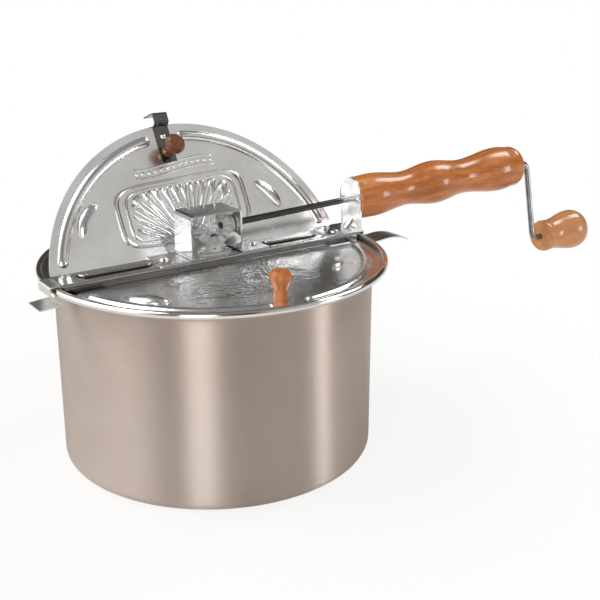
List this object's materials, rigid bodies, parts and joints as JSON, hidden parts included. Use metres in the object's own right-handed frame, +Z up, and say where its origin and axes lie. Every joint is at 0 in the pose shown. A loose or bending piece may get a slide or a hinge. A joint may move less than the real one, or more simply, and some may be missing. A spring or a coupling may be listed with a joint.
{
  "type": "stovetop popcorn popper",
  "caption": "Hand-cranked stovetop popcorn popper: a spun metal pot with hinged half lids, side clips, a bevel-geared stirring wire and a turned wooden handle with a crank.",
  "frame": {"origin": "centre of the pot's underside, on the stirring shaft's line", "axes": "+X along the crossbar towards the handle, -Y towards the front lid, which is closed at rest, +Z up"},
  "size_m": [0.5082, 0.25, 0.238],
  "materials": {
    "pot_aluminium": "spun and finely brushed, with a polished rolled rim",
    "lid_aluminium": "bright pressed sheet",
    "bar_steel": "plated sheet steel",
    "bracket_steel": "polished plated sheet",
    "clip_steel": "spring steel",
    "rivet_metal": "polished domed heads",
    "wire_steel": "bright drawn wire",
    "screw_steel": "plated",
    "handle_wood": "stained and varnished hardwood",
    "knob_wood": "stained and varnished hardwood",
    "gear_nylon": "moulded nylon",
    "bushing_nylon": "moulded nylon"
  },
  "bodies": {
    "pot_and_bar": {"pot": "pot_aluminium", "crossbar": "bar_steel", "gear_bracket": "bracket_steel", "gear_bracket_rivets": "rivet_metal", "handle_bracket": "bracket_steel", "handle_bracket_rivets": "rivet_metal", "left_clip_leaf": "clip_steel", "right_clip_leaf": "clip_steel", "left_clip_rivet": "rivet_metal", "shaft_bushing": "bushing_nylon", "bushing_rivets": "rivet_metal", "front_hinge_pin": "wire_steel", "back_hinge_pin": "wire_steel", "handle_grip": "handle_wood", "handle_screws": "screw_steel"},
    "crank": {"crank_rod": "wire_steel", "drive_gear": "gear_nylon", "drive_gear_pin": "screw_steel"},
    "crank_handle": {"crank_knob": "handle_wood"},
    "stirrer": {"driven_gear": "gear_nylon", "driven_gear_pin": "screw_steel", "agitator_shaft": "wire_steel", "shaft_retaining_ring": "wire_steel", "stirring_wire": "wire_steel"},
    "front_cover": {"front_lid": "lid_aluminium", "front_knob": "knob_wood", "front_knob_screw": "screw_steel"},
    "back_cover": {"back_lid": "lid_aluminium", "back_knob": "knob_wood", "back_knob_screw": "screw_steel", "back_catch": "clip_steel", "back_catch_rivet": "rivet_metal"},
    "left_clip": {"left_clip_lever": "clip_steel"},
    "right_clip": {"right_clip_lever": "clip_steel"}
  },
  "joints": [
    {"name": "crank_turn", "type": "hinge", "parent": "pot_and_bar", "child": "crank", "pos_m": [0, 0, 0.1649], "axis": [0.9994, 0, 0.0349], "continuous": true},
    {"name": "knob_spin", "type": "hinge", "parent": "crank", "child": "crank_handle", "pos_m": [0.34708, -0.01155, 0.11149], "axis": [0.9994, 0, 0.0349], "continuous": true},
    {"name": "stirrer_turn", "type": "hinge", "parent": "pot_and_bar", "child": "stirrer", "pos_m": [0, 0, 0.1], "axis": [0, 0, 1], "continuous": true},
    {"name": "front_lid_hinge", "type": "hinge", "parent": "pot_and_bar", "child": "front_cover", "pos_m": [0, -0.01546, 0.13824], "axis": [-1, 0, 0], "range_deg": [0, 80]},
    {"name": "back_lid_hinge", "type": "hinge", "parent": "pot_and_bar", "child": "back_cover", "pos_m": [0, 0.01546, 0.13824], "axis": [1, 0, 0], "range_deg": [-60, 20]},
    {"name": "left_clip_flex", "type": "hinge", "parent": "pot_and_bar", "child": "left_clip", "pos_m": [-0.12315, 0, 0.1451], "axis": [0, 1, 0], "range_deg": [0, 8], "stiffness_Nm_per_rad": 1},
    {"name": "right_clip_flex", "type": "hinge", "parent": "pot_and_bar", "child": "right_clip", "pos_m": [0.12315, 0, 0.1451], "axis": [0, -1, 0], "range_deg": [0, 8], "stiffness_Nm_per_rad": 1}
  ],
  "couplings": [
    {"joint": "stirrer_turn", "follows": "crank_turn", "ratio": 1}
  ]
}
